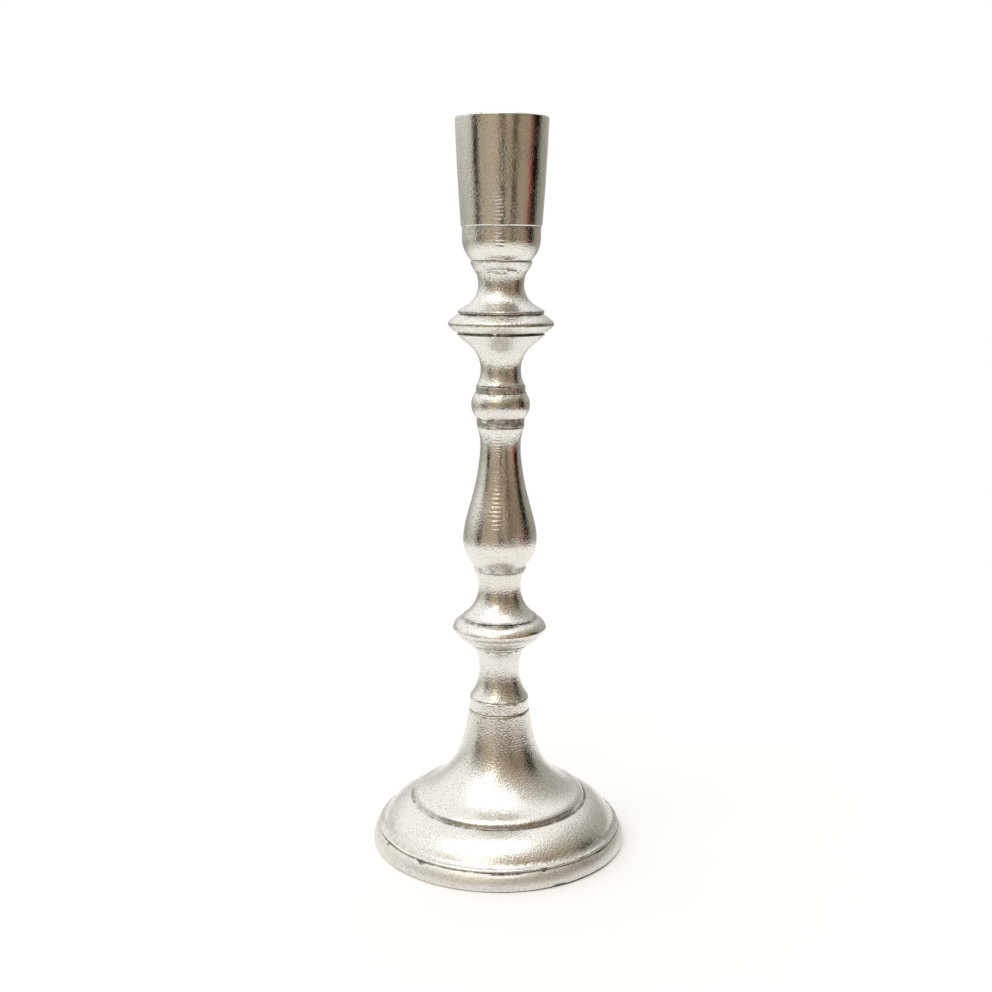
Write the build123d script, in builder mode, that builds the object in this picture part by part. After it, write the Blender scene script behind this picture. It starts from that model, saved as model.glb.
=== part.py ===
from build123d import *
import os

# Cast metal candlestick: a stack of turned-looking castings, each located by a round spigot in
# the one above, drawn together by one tie rod that is nutted under the hollow foot.
# Millimetres. Origin at the centre of the underside, +Z up. Outline points are (radius, height).

os.makedirs("parts", exist_ok=True)

# ------------------------------------------------------------------ driving dimensions
total_height = 280.0
foot_radius = 50.0
cup_rim_radius = 17.4
felt_thickness = 0.6

# Candle socket: takes a 22 mm dinner candle
socket_radius = 11.5
socket_floor = 248.5
socket_corner = 0.8
mouth_round = 3.2

# Heights of the seams between castings, from the foot upwards
seam_collar = 53.9
seam_lower_spool = 58.7
seam_lower_knop = 84.9
seam_lower_neck = 91.35
seam_baluster = 110.1
seam_knop = 166.2
seam_upper_spool = 181.85
seam_drip_disc = 201.45
seam_neck = 208.8
seam_bowl = 228.2
seam_cup = 240.7

# M6 tie rod and its hardware
rod_radius = 3.0
rod_hole_radius = 3.3
thread_play = 0.05
rod_bottom = 33.0
rod_top = 244.5
rod_chamfer = 0.8
nut_across_flats = 10.0
nut_height = 5.0
washer_radius = 9.0
washer_hole_radius = 3.2
washer_thickness = 1.6
spring_washer_radius = 5.9
spring_washer_hole_radius = 3.05
spring_washer_thickness = 1.6
spring_washer_gap = 1.0
spring_washer_slant = 20.0

# Spigot joints
spigot_height = 2.3
recess_depth = 2.6
spigot_clearance = 0.1
spigot_chamfer = 0.4
wide_spigot = 9.0
waist_spigot = 6.2
collar_spigot = 7.0

# Screwed boss under the candle cup
boss_radius = 8.0
boss_length = 6.0
boss_recess = 6.3
tapped_depth = 10.3
drill_point = 1.5

# Hollow foot
foot_land_radius = 44.5
hollow_roof = 44.0
felt_outer_radius = 49.6
felt_inner_radius = 45.2
edge_round = 0.4

# ------------------------------------------------------------------ named outline points
# Candle cup: wall almost straight, barely crowned
cup_wall_middle = (16.48, 261.0)
cup_base_radius = 15.1
cup_rim_round = 0.7
cup_base_round = 0.35

# Bowl under the cup, closing to the groove above the neck
bowl_radius = 14.72
bowl_turn = (14.68, 236.4)
bowl_side = (14.14, 233.0)
bowl_edge = (11.96, 229.2)
neck_groove_radius = 11.25

# Neck: short crowned band, waist, wide flare ending in a flange
neck_edge = (11.65, 227.75)
neck_crown = (10.87, 225.98)
neck_bend = (9.75, 224.4)
neck_hollow = (8.89, 222.1)
neck_waist = (8.62, 219.8)
neck_flare = (9.62, 215.35)
neck_flare_end = (12.65, 212.0)
flange_edge = (16.1, 210.0)
flange_corner = (16.3, 209.7)
flange_riser = (16.25, 209.0)
flange_foot = (15.7, seam_neck)

# Drip disc: sloping top, knife-like round edge, sloping underside
disc_top = (16.15, 208.5)
disc_slope = (18.1, 207.15)
disc_shoulder = (19.55, 206.0)
disc_edge = (19.92, 205.0)
disc_lip = (19.45, 203.9)
disc_under = (18.45, 202.95)
disc_bottom = (16.85, 201.9)
disc_groove_radius = 15.8
disc_groove_top = 201.65
disc_groove_bottom = 201.25

# Upper spool
upper_spool_edge = (16.65, 201.0)
upper_spool_slope = (11.2, 196.3)
upper_spool_hollow = (8.5, 192.3)
upper_spool_waist = (7.66, 187.6)
upper_spool_flare = (8.0, 184.73)
upper_spool_foot = (9.1, 182.05)
ring_seam_radius = 9.0

# Knop: narrow ring, ball, narrow band
ring_radius = 9.38
ring_top = 181.55
ball_top = (9.4, 179.2)
ball_side = (11.16, 174.5)
ball_bottom = (9.75, 170.15)
band_top = (9.08, 169.5)
band_bottom = (9.04, 166.45)
band_seam_radius = 8.75

# Baluster: slim waist above a pear-shaped belly
baluster_top = (8.93, 165.9)
baluster_top_hollow = (8.03, 162.4)
baluster_waist = (7.72, 158.6)
baluster_swell = [(8.55, 149.6), (10.45, 140.2), (13.1, 130.3)]
baluster_belly = (14.24, 122.3)
baluster_belly_under = (13.36, 117.3)
baluster_tuck = (11.4, 113.7)
baluster_fillet = (10.5, 112.45)
baluster_band_top = (10.28, 112.1)
baluster_band_bottom = (10.02, 110.45)
baluster_seam_radius = 9.7

# Lower neck
lower_neck_top = (9.5, 109.6)
lower_neck_hollow = (8.52, 106.6)
lower_neck_waist = (8.2, 103.4)
lower_neck_flare = (9.77, 96.93)
lower_neck_flare_end = (14.1, 91.9)
lower_neck_edge = (14.55, 91.6)
knop_groove_radius = 14.0

# Lower knop: one fat half-round ring
knop_ring_top = (14.6, 90.9)
knop_ring_upper = (17.25, 89.1)
knop_ring_side = (18.3, 87.3)
knop_ring_lower = (17.85, 86.0)
knop_ring_bottom = (16.55, 84.95)
knop_crease_radius = 15.9

# Lower spool: small ring and bead at the top, cove, flare onto the collar
small_ring_upper = (15.85, 84.5)
small_ring_side = (15.5, 83.5)
small_ring_lower = (14.65, 82.6)
small_ring_under = (13.2, 81.65)
bead_top = (11.2, 80.6)
bead_side = (11.05, 79.95)
bead_bottom = (10.1, 79.4)
lower_spool_hollow = (8.36, 75.0)
lower_spool_waist = (7.84, 70.8)
lower_spool_flare = (8.61, 65.07)
lower_spool_flare_end = (11.05, 59.75)
lower_spool_edge = (11.42, 59.2)
lower_spool_seam_radius = 11.15

# Collar: a plain tapering band
collar_top = (11.5, 58.4)
collar_bottom = (11.9, 54.2)
collar_seam_radius = 11.55

# Foot: trumpet, stepped skirt, half-round shoulder, lip and flared rim
trumpet_top = (11.95, 53.5)
trumpet = [(12.65, 48.5), (14.3, 41.0), (17.8, 32.5), (23.5, 25.7)]
skirt = (31.4, 20.6)
skirt_round = (32.95, 19.75)
skirt_edge = (33.75, 18.95)
step_foot = (34.2, 17.45)
shoulder_top = (34.8, 17.35)
shoulder_side = (41.25, 13.9)
shoulder_bottom = (45.4, 9.2)
lip_cove = (46.2, 8.35)
lip_top = (47.2, 7.75)
lip_round = (47.75, 7.45)
lip_edge = (47.9, 7.0)
lip_undercut = (47.55, 6.75)
rim_top = (47.95, 6.45)
rim_side = (49.44, 4.0)
hollow_side = (43.3, 7.5)
hollow_corner = (41.0, 11.5)
hollow_shelf = (33.0, 14.9)
hollow_trumpet = [(22.8, 21.6), (15.9, 30.0), (12.3, 38.0)]
hollow_top = (11.0, hollow_roof)


def joint_side(bottom, recess_radius, top, spigot_radius):
    """Inner side of a stacked casting: recess below, rod hole, spigot above."""
    roof = bottom + recess_depth
    crown = top + spigot_height
    return [
        (recess_radius + spigot_clearance, bottom),
        (recess_radius + spigot_clearance, roof),
        (rod_hole_radius, roof),
        (rod_hole_radius, crown),
        (spigot_radius - spigot_chamfer, crown),
        (spigot_radius, crown - spigot_chamfer),
        (spigot_radius, top),
    ]


# ------------------------------------------------------------------ foot
with BuildPart() as foot:
    with BuildSketch(Plane.XZ):
        with BuildLine():
            foot_crown = seam_lower_spool + spigot_height
            Polyline(
                (collar_seam_radius, seam_collar),
                (collar_spigot, seam_collar),
                (collar_spigot, foot_crown - spigot_chamfer),
                (collar_spigot - spigot_chamfer, foot_crown),
                (rod_hole_radius, foot_crown),
                (rod_hole_radius, hollow_roof),
                hollow_top,
            )
            Spline(hollow_top, *reversed(hollow_trumpet), hollow_shelf)
            ThreePointArc(hollow_shelf, hollow_corner, hollow_side)
            Polyline(
                hollow_side,
                (foot_land_radius, felt_thickness),
                (foot_radius - edge_round, felt_thickness),
                (foot_radius, felt_thickness + edge_round),
            )
            ThreePointArc((foot_radius, felt_thickness + edge_round), rim_side, rim_top)
            Polyline(rim_top, lip_undercut, lip_edge)
            ThreePointArc(lip_edge, lip_round, lip_top)
            ThreePointArc(lip_top, lip_cove, shoulder_bottom)
            ThreePointArc(shoulder_bottom, shoulder_side, shoulder_top)
            Polyline(shoulder_top, step_foot, skirt_edge)
            ThreePointArc(skirt_edge, skirt_round, skirt)
            Spline(skirt, *reversed(trumpet), trumpet_top)
            Line(trumpet_top, (collar_seam_radius, seam_collar))
        make_face()
    revolve(axis=Axis.Z)
foot.part.label = "foot"
export_step(foot.part, "parts/foot.step")

# ------------------------------------------------------------------ felt ring under the rim
with BuildPart() as felt_ring:
    with BuildSketch(Plane.XY):
        Circle(felt_outer_radius)
        Circle(felt_inner_radius, mode=Mode.SUBTRACT)
    extrude(amount=felt_thickness)
felt_ring.part.label = "felt_ring"
export_step(felt_ring.part, "parts/felt_ring.step")

# ------------------------------------------------------------------ collar on the foot's spigot
with BuildPart() as collar:
    with BuildSketch(Plane.XZ):
        with BuildLine():
            Polyline(
                (collar_spigot + spigot_clearance, seam_collar),
                (collar_spigot + spigot_clearance, seam_lower_spool),
                (lower_spool_seam_radius, seam_lower_spool),
                collar_top,
                collar_bottom,
                (collar_seam_radius, seam_collar),
                close=True,
            )
        make_face()
    revolve(axis=Axis.Z)
collar.part.label = "collar"
export_step(collar.part, "parts/collar.step")

# ------------------------------------------------------------------ lower spool
with BuildPart() as lower_spool:
    with BuildSketch(Plane.XZ):
        with BuildLine():
            Polyline(
                (lower_spool_seam_radius, seam_lower_spool),
                *joint_side(seam_lower_spool, collar_spigot, seam_lower_knop, wide_spigot),
                (knop_crease_radius, seam_lower_knop),
                small_ring_upper,
            )
            ThreePointArc(small_ring_upper, small_ring_side, small_ring_lower)
            Polyline(small_ring_lower, small_ring_under, bead_top)
            ThreePointArc(bead_top, bead_side, bead_bottom)
            ThreePointArc(bead_bottom, lower_spool_hollow, lower_spool_waist)
            ThreePointArc(lower_spool_waist, lower_spool_flare, lower_spool_flare_end)
            Polyline(
                lower_spool_flare_end, lower_spool_edge, (lower_spool_seam_radius, seam_lower_spool)
            )
        make_face()
    revolve(axis=Axis.Z)
lower_spool.part.label = "lower_spool"
export_step(lower_spool.part, "parts/lower_spool.step")

# ------------------------------------------------------------------ lower knop
with BuildPart() as lower_knop:
    with BuildSketch(Plane.XZ):
        with BuildLine():
            Polyline(
                knop_ring_bottom,
                (knop_crease_radius, seam_lower_knop),
                *joint_side(seam_lower_knop, wide_spigot, seam_lower_neck, wide_spigot),
                (knop_groove_radius, seam_lower_neck),
                knop_ring_top,
            )
            ThreePointArc(knop_ring_top, knop_ring_upper, knop_ring_side)
            ThreePointArc(knop_ring_side, knop_ring_lower, knop_ring_bottom)
        make_face()
    revolve(axis=Axis.Z)
lower_knop.part.label = "lower_knop"
export_step(lower_knop.part, "parts/lower_knop.step")

# ------------------------------------------------------------------ lower neck
with BuildPart() as lower_neck:
    with BuildSketch(Plane.XZ):
        with BuildLine():
            Polyline(
                lower_neck_flare_end,
                lower_neck_edge,
                (knop_groove_radius, seam_lower_neck),
                *joint_side(seam_lower_neck, wide_spigot, seam_baluster, waist_spigot),
                (baluster_seam_radius, seam_baluster),
                lower_neck_top,
            )
            ThreePointArc(lower_neck_top, lower_neck_hollow, lower_neck_waist)
            ThreePointArc(lower_neck_waist, lower_neck_flare, lower_neck_flare_end)
        make_face()
    revolve(axis=Axis.Z)
lower_neck.part.label = "lower_neck"
export_step(lower_neck.part, "parts/lower_neck.step")

# ------------------------------------------------------------------ baluster
with BuildPart() as baluster:
    with BuildSketch(Plane.XZ):
        with BuildLine():
            Polyline(
                baluster_tuck,
                baluster_fillet,
                baluster_band_top,
                baluster_band_bottom,
                (baluster_seam_radius, seam_baluster),
                *joint_side(seam_baluster, waist_spigot, seam_knop, waist_spigot),
                (band_seam_radius, seam_knop),
                baluster_top,
            )
            ThreePointArc(baluster_top, baluster_top_hollow, baluster_waist)
            Spline(
                baluster_waist,
                *baluster_swell,
                baluster_belly,
                tangents=((0, -1), (0, -1)),
            )
            ThreePointArc(baluster_belly, baluster_belly_under, baluster_tuck)
        make_face()
    revolve(axis=Axis.Z)
baluster.part.label = "baluster"
export_step(baluster.part, "parts/baluster.step")

# ------------------------------------------------------------------ knop
with BuildPart() as knop:
    with BuildSketch(Plane.XZ):
        with BuildLine():
            Polyline(
                ball_bottom,
                band_top,
                band_bottom,
                (band_seam_radius, seam_knop),
                *joint_side(seam_knop, waist_spigot, seam_upper_spool, waist_spigot),
                (ring_seam_radius, seam_upper_spool),
                (ring_radius, ring_top),
                ball_top,
            )
            ThreePointArc(ball_top, ball_side, ball_bottom)
        make_face()
    revolve(axis=Axis.Z)
knop.part.label = "knop"
export_step(knop.part, "parts/knop.step")

# ------------------------------------------------------------------ upper spool
with BuildPart() as upper_spool:
    with BuildSketch(Plane.XZ):
        with BuildLine():
            Polyline(
                upper_spool_foot,
                (ring_seam_radius, seam_upper_spool),
                *joint_side(seam_upper_spool, waist_spigot, seam_drip_disc, wide_spigot),
                (disc_groove_radius, seam_drip_disc),
                (disc_groove_radius, disc_groove_bottom),
                upper_spool_edge,
                upper_spool_slope,
            )
            ThreePointArc(upper_spool_slope, upper_spool_hollow, upper_spool_waist)
            ThreePointArc(upper_spool_waist, upper_spool_flare, upper_spool_foot)
        make_face()
    revolve(axis=Axis.Z)
upper_spool.part.label = "upper_spool"
export_step(upper_spool.part, "parts/upper_spool.step")

# ------------------------------------------------------------------ drip disc
with BuildPart() as drip_disc:
    with BuildSketch(Plane.XZ):
        with BuildLine():
            Polyline(
                disc_bottom,
                (disc_groove_radius, disc_groove_top),
                (disc_groove_radius, seam_drip_disc),
                *joint_side(seam_drip_disc, wide_spigot, seam_neck, wide_spigot),
                flange_foot,
                disc_top,
            )
            ThreePointArc(disc_top, disc_slope, disc_shoulder)
            ThreePointArc(disc_shoulder, disc_edge, disc_lip)
            ThreePointArc(disc_lip, disc_under, disc_bottom)
        make_face()
    revolve(axis=Axis.Z)
drip_disc.part.label = "drip_disc"
export_step(drip_disc.part, "parts/drip_disc.step")

# ------------------------------------------------------------------ neck
with BuildPart() as neck:
    with BuildSketch(Plane.XZ):
        with BuildLine():
            Polyline(
                neck_flare_end,
                flange_edge,
                flange_corner,
                flange_riser,
                flange_foot,
                *joint_side(seam_neck, wide_spigot, seam_bowl, waist_spigot),
                (neck_groove_radius, seam_bowl),
                neck_edge,
            )
            ThreePointArc(neck_edge, neck_crown, neck_bend)
            ThreePointArc(neck_bend, neck_hollow, neck_waist)
            ThreePointArc(neck_waist, neck_flare, neck_flare_end)
        make_face()
    revolve(axis=Axis.Z)
neck.part.label = "neck"
export_step(neck.part, "parts/neck.step")

# ------------------------------------------------------------------ bowl under the candle cup
with BuildPart() as cup_bowl:
    with BuildSketch(Plane.XZ):
        with BuildLine():
            Polyline(
                bowl_edge,
                (neck_groove_radius, seam_bowl),
                (waist_spigot + spigot_clearance, seam_bowl),
                (waist_spigot + spigot_clearance, seam_bowl + recess_depth),
                (rod_hole_radius, seam_bowl + recess_depth),
                (rod_hole_radius, seam_cup - boss_recess),
                (boss_radius + spigot_clearance, seam_cup - boss_recess),
                (boss_radius + spigot_clearance, seam_cup),
                (bowl_radius, seam_cup),
                bowl_turn,
            )
            ThreePointArc(bowl_turn, bowl_side, bowl_edge)
        make_face()
    revolve(axis=Axis.Z)
cup_bowl.part.label = "cup_bowl"
export_step(cup_bowl.part, "parts/cup_bowl.step")

# ------------------------------------------------------------------ candle cup
with BuildPart() as candle_cup:
    with BuildSketch(Plane.XZ):
        with BuildLine():
            boss_bottom = seam_cup - boss_length
            tapped_radius = rod_radius + thread_play
            tapped_top = boss_bottom + tapped_depth
            mouth_rise = mouth_round * (1 - 2**-0.5)
            Polyline(
                (cup_base_radius, seam_cup),
                (boss_radius, seam_cup),
                (boss_radius, boss_bottom + spigot_chamfer),
                (boss_radius - spigot_chamfer, boss_bottom),
                (tapped_radius, boss_bottom),
                (tapped_radius, tapped_top),
                (0, tapped_top + drill_point),
                (0, socket_floor),
                (socket_radius - socket_corner, socket_floor),
                (socket_radius, socket_floor + socket_corner),
                (socket_radius, total_height - mouth_round),
            )
            ThreePointArc(
                (socket_radius, total_height - mouth_round),
                (socket_radius + mouth_rise, total_height - mouth_rise),
                (socket_radius + mouth_round, total_height),
            )
            Line((socket_radius + mouth_round, total_height), (cup_rim_radius, total_height))
            ThreePointArc(
                (cup_rim_radius, total_height), cup_wall_middle, (cup_base_radius, seam_cup)
            )
        make_face()
    revolve(axis=Axis.Z)
    rim_edge = edges().group_by(Axis.Z)[-1].sort_by(SortBy.RADIUS)[-1]
    fillet(rim_edge, cup_rim_round)
    base_edge = edges().filter_by_position(Axis.Z, seam_cup, seam_cup).sort_by(SortBy.RADIUS)[-1]
    fillet(base_edge, cup_base_round)
candle_cup.part.label = "candle_cup"
export_step(candle_cup.part, "parts/candle_cup.step")

# ------------------------------------------------------------------ tie rod
with BuildPart() as tie_rod:
    with BuildSketch(Plane.XY.offset(rod_bottom)):
        Circle(rod_radius)
    extrude(amount=rod_top - rod_bottom)
    chamfer(edges().filter_by(GeomType.CIRCLE), rod_chamfer)
tie_rod.part.label = "tie_rod"
export_step(tie_rod.part, "parts/tie_rod.step")

# ------------------------------------------------------------------ flat washer
washer_bottom = hollow_roof - washer_thickness
with BuildPart() as flat_washer:
    with BuildSketch(Plane.XY.offset(washer_bottom)):
        Circle(washer_radius)
        Circle(washer_hole_radius, mode=Mode.SUBTRACT)
    extrude(amount=washer_thickness)
    fillet(edges().group_by(Axis.Z)[0].sort_by(SortBy.RADIUS)[-1], edge_round)
flat_washer.part.label = "flat_washer"
export_step(flat_washer.part, "parts/flat_washer.step")

# ------------------------------------------------------------------ spring washer, split on a slant
spring_washer_bottom = washer_bottom - spring_washer_thickness
with BuildPart() as spring_washer:
    with BuildSketch(Plane.XY.offset(spring_washer_bottom)):
        Circle(spring_washer_radius)
        Circle(spring_washer_hole_radius, mode=Mode.SUBTRACT)
    extrude(amount=spring_washer_thickness)
    split_middle = Plane(
        origin=(spring_washer_radius, 0, spring_washer_bottom + spring_washer_thickness / 2),
        x_dir=(0, 1, 0),
        z_dir=(1, 0, 0),
    )
    with BuildSketch(split_middle):
        Rectangle(spring_washer_gap, 3 * spring_washer_thickness, rotation=spring_washer_slant)
    extrude(amount=-spring_washer_radius, mode=Mode.SUBTRACT)
spring_washer.part.label = "spring_washer"
export_step(spring_washer.part, "parts/spring_washer.step")

# ------------------------------------------------------------------ hex nut, both ends chamfered
nut_bottom = spring_washer_bottom - nut_height
with BuildPart() as hex_nut:
    with BuildSketch(Plane.XY.offset(nut_bottom)):
        RegularPolygon(nut_across_flats / 2, 6, major_radius=False)
        Circle(rod_radius + thread_play, mode=Mode.SUBTRACT)
    extrude(amount=nut_height)
    nut_corner_radius = nut_across_flats / 3**0.5
    nut_flat_radius = nut_across_flats / 2
    chamfer_rise = (nut_corner_radius - nut_flat_radius) * 3**-0.5
    with BuildSketch(Plane.XZ):
        with BuildLine():
            Polyline(
                (0, nut_bottom),
                (nut_flat_radius, nut_bottom),
                (nut_corner_radius, nut_bottom + chamfer_rise),
                (nut_corner_radius, nut_bottom + nut_height - chamfer_rise),
                (nut_flat_radius, nut_bottom + nut_height),
                (0, nut_bottom + nut_height),
                close=True,
            )
        make_face()
    revolve(axis=Axis.Z, mode=Mode.INTERSECT)
hex_nut.part.label = "hex_nut"
export_step(hex_nut.part, "parts/hex_nut.step")
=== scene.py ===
import math

import bpy
import numpy as np
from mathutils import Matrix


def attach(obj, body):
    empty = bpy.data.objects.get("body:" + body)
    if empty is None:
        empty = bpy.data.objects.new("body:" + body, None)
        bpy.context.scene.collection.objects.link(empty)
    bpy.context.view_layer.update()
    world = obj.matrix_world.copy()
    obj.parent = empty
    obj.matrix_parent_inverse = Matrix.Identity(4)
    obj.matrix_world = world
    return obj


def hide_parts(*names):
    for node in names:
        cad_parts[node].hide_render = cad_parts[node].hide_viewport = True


# Looks of the cast metal candlestick: every casting is turned again as a dense mesh with the small
# unevenness of sand casting in its surface, and gets procedural metal, steel or felt.
# Outline points are (radius, height) in millimetres; meshes are made in metres.

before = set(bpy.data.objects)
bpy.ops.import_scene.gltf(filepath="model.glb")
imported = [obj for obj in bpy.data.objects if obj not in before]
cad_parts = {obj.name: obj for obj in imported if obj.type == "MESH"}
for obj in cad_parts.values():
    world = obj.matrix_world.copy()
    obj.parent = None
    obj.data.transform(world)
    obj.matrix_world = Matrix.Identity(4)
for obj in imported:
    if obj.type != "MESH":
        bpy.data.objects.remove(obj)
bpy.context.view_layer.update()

MM = 0.001
TAU = 2 * math.pi

# ------------------------------------------------------------------ sizes, in millimetres
# Heights of the seams, each named after the piece that stands on it
SEAM_CUP = 240.7
SEAM_BOWL = 228.2
SEAM_NECK = 208.8
SEAM_DISC = 201.45
SEAM_UPPER_SPOOL = 181.85
SEAM_KNOP = 166.2
SEAM_BALUSTER = 110.1
SEAM_LOWER_NECK = 91.35
SEAM_LOWER_KNOP = 84.9
SEAM_LOWER_SPOOL = 58.7
SEAM_COLLAR = 53.9
FELT_THICKNESS = 0.6

# Spigots that centre one casting on the next, by radius: under the wide pieces and at the waists
WIDE_SPIGOT = 9.0
WAIST_SPIGOT = 6.2
COLLAR_SPIGOT = 7.0
SPIGOT_HEIGHT = 2.3
SPIGOT_CHAMFER = 0.4
SPIGOT_PLAY = 0.1
RECESS_DEPTH = 2.6

# M6 hardware
ROD_HOLE = 3.3
ROD_RADIUS = 3.0
ROD_FOOT = 33.0
ROD_TOP = 244.5
THREAD_PITCH = 1.0
THREAD_DEPTH = 0.45
NUT_SEAT = 40.8
SPRING_SEAT = 42.4
WASHER_SEAT = 44.0

TRACE_STEP = 0.1  # first sampling of an outline
EDGE_SOFTNESS = 0.11  # cast edges are rounded by about this much
FOOT_STEPS = 512
STEM_STEPS = 320
FRONT = -math.pi / 2  # the side the camera sees, as an angle of turn


# ------------------------------------------------------------------ noise
def lattice_noise(points, scale, seed):
    """Smooth noise of about -1 to 1 at (n, 3) points, with features about as large as scale."""
    q = points / scale + 4096.0
    cell = np.floor(q).astype(np.int64)
    f = q - cell
    f = f * f * f * (f * (f * 6 - 15) + 10)
    total = np.zeros(len(points))
    for dx in (0, 1):
        wx = f[:, 0] if dx else 1 - f[:, 0]
        for dy in (0, 1):
            wy = f[:, 1] if dy else 1 - f[:, 1]
            for dz in (0, 1):
                wz = f[:, 2] if dz else 1 - f[:, 2]
                h = (cell[:, 0] + dx) * 73856093 ^ (cell[:, 1] + dy) * 19349663
                h = (h ^ (cell[:, 2] + dz) * 83492791 ^ seed * 2654435761) & 0xFFFFFFFF
                h = (h ^ (h >> 15)) * 2246822519 & 0xFFFFFFFF
                h = (h ^ (h >> 13)) * 3266489917 & 0xFFFFFFFF
                h = h ^ (h >> 16)
                total += wx * wy * wz * (h / 2147483648.0 - 1)
    return total


def smooth_step(low, high, x):
    """0 below low, 1 above high, with an even blend between."""
    t = np.clip((x - low) / (high - low), 0, 1)
    return t * t * (3 - 2 * t)


def angle_gap(angle, centre):
    """The signed angle from centre to angle, the short way round."""
    return (angle - centre + math.pi) % TAU - math.pi


# ------------------------------------------------------------------ outlines
class Outline:
    """One section line, traced densely from lines, arcs and smooth curves through a few points."""

    def __init__(self, *start):
        self.points = [np.array(start, float)]

    def _add(self, pts):
        self.points.extend(pts[1:])

    def line(self, *ends):
        for end in ends:
            a, b = self.points[-1], np.array(end, float)
            n = max(1, math.ceil(np.hypot(*(b - a)) / TRACE_STEP))
            self._add([a + (b - a) * i / n for i in range(n + 1)])
        return self

    def arc(self, middle, end):
        a, m, b = self.points[-1], np.array(middle, float), np.array(end, float)
        system = 2 * np.array([m - a, b - a])
        c = np.linalg.solve(system, np.array([m @ m - a @ a, b @ b - a @ a]))
        radius = np.hypot(*(a - c))
        first, mid, last = (math.atan2(*(p - c)[::-1]) for p in (a, m, b))
        sweep = (last - first) % TAU
        if (mid - first) % TAU > sweep:
            sweep -= TAU
        n = max(2, math.ceil(abs(sweep) * radius / TRACE_STEP))
        turns = first + sweep * np.arange(n + 1) / n
        self._add([c + radius * np.array([math.cos(t), math.sin(t)]) for t in turns])
        return self

    def curve(self, *through, upright_ends=False, flows=False):
        """A smooth curve through these points. upright_ends makes it start and end vertical, and
        flows makes it leave in the direction the line before it arrived in."""
        knots = np.array([self.points[-1], *through], float)
        arrival = self.points[-1] - self.points[-2] if flows else None
        t = np.concatenate([[0], np.cumsum(np.hypot(*np.diff(knots, axis=0).T))])
        n = len(knots)
        rows, right = np.zeros((n, n)), np.zeros((n, 2))
        step = np.diff(t)
        slope = np.diff(knots, axis=0) / step[:, None]
        for i in range(1, n - 1):
            rows[i, i - 1 : i + 2] = step[i], 2 * (step[i - 1] + step[i]), step[i - 1]
            right[i] = 3 * (step[i] * slope[i - 1] + step[i - 1] * slope[i])
        rows[0, 0] = rows[-1, -1] = 1
        if upright_ends:
            way = np.sign(knots[-1, 1] - knots[0, 1])
            right[0] = right[-1] = (0, way)
        else:
            rows[0, 1] = rows[-1, -2] = 1
            right[0], right[-1] = 2 * slope[0], 2 * slope[-1]
            if flows:
                rows[0, 1] = 0
                right[0] = arrival / np.hypot(*arrival)
        m = np.linalg.solve(rows, right)
        out = [knots[0]]
        for i in range(n - 1):
            k = max(2, math.ceil(step[i] / TRACE_STEP))
            for j in range(1, k + 1):
                u = j / k
                out.append(
                    knots[i] * (2 * u**3 - 3 * u**2 + 1)
                    + m[i] * step[i] * (u**3 - 2 * u**2 + u)
                    + knots[i + 1] * (3 * u**2 - 2 * u**3)
                    + m[i + 1] * step[i] * (u**3 - u**2)
                )
        self._add(out)
        return self


def along(points):
    """Distance along the line at each of its points."""
    return np.concatenate([[0], np.cumsum(np.hypot(*np.diff(points, axis=0).T))])


def resampled(points, targets):
    """The line's points at these distances along it."""
    s = along(points)
    return np.stack([np.interp(targets, s, points[:, k]) for k in (0, 1)], axis=1)


def softened(points, width):
    """The line at an even pitch, blurred over width, with its two ends held in place."""
    length = along(points)[-1]
    n = max(8, int(length / (TRACE_STEP / 2)))
    even = resampled(points, np.linspace(0, length, n))
    pitch = length / (n - 1)
    reach = max(1, int(3 * width / pitch))
    weights = np.exp(-0.5 * (np.arange(-reach, reach + 1) * pitch / width) ** 2)
    weights /= weights.sum()
    padded = np.concatenate(
        [2 * even[0] - even[reach:0:-1], even, 2 * even[-1] - even[-2 : -reach - 2 : -1]]
    )
    return np.stack([np.convolve(padded[:, k], weights, "valid") for k in (0, 1)], axis=1)


def normals_of(points):
    """Unit normals on the line's right, which is the outside of a casting."""
    d = np.gradient(points, axis=0)
    d /= np.maximum(np.hypot(*d.T), 1e-12)[:, None]
    return np.stack([d[:, 1], -d[:, 0]], axis=1)


def rows_for(points, count):
    """count rows along the line, closer together where it bends."""
    s = along(points)
    d = np.gradient(points, axis=0)
    heading = np.unwrap(np.arctan2(d[:, 1], d[:, 0]))
    bend = np.abs(np.gradient(heading, s))
    cost = 1 + 1.1 * np.minimum(bend, 6.0)
    total = np.concatenate([[0], np.cumsum((cost[1:] + cost[:-1]) / 2 * np.diff(s))])
    return np.interp(np.linspace(0, total[-1], count), total, s)


def resampled_normals(line, where):
    n = normals_of(line)
    s = along(line)
    got = np.stack([np.interp(where, s, n[:, k]) for k in (0, 1)], axis=1)
    return got / np.hypot(*got.T)[:, None]


# ------------------------------------------------------------------ meshes
def new_object(name, verts, faces, layers=None, smooth=True):
    mesh = bpy.data.meshes.new(name)
    mesh.from_pydata(verts.tolist(), [], faces)
    if smooth:
        mesh.polygons.foreach_set("use_smooth", [True] * len(mesh.polygons))
    for layer, values in (layers or {}).items():
        attribute = mesh.attributes.new(layer, "FLOAT", "POINT")
        attribute.data.foreach_set("value", np.asarray(values, np.float32))
    mesh.validate()
    mesh.update()
    made = bpy.data.objects.new(name, mesh)
    bpy.context.scene.collection.objects.link(made)
    return made


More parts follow.
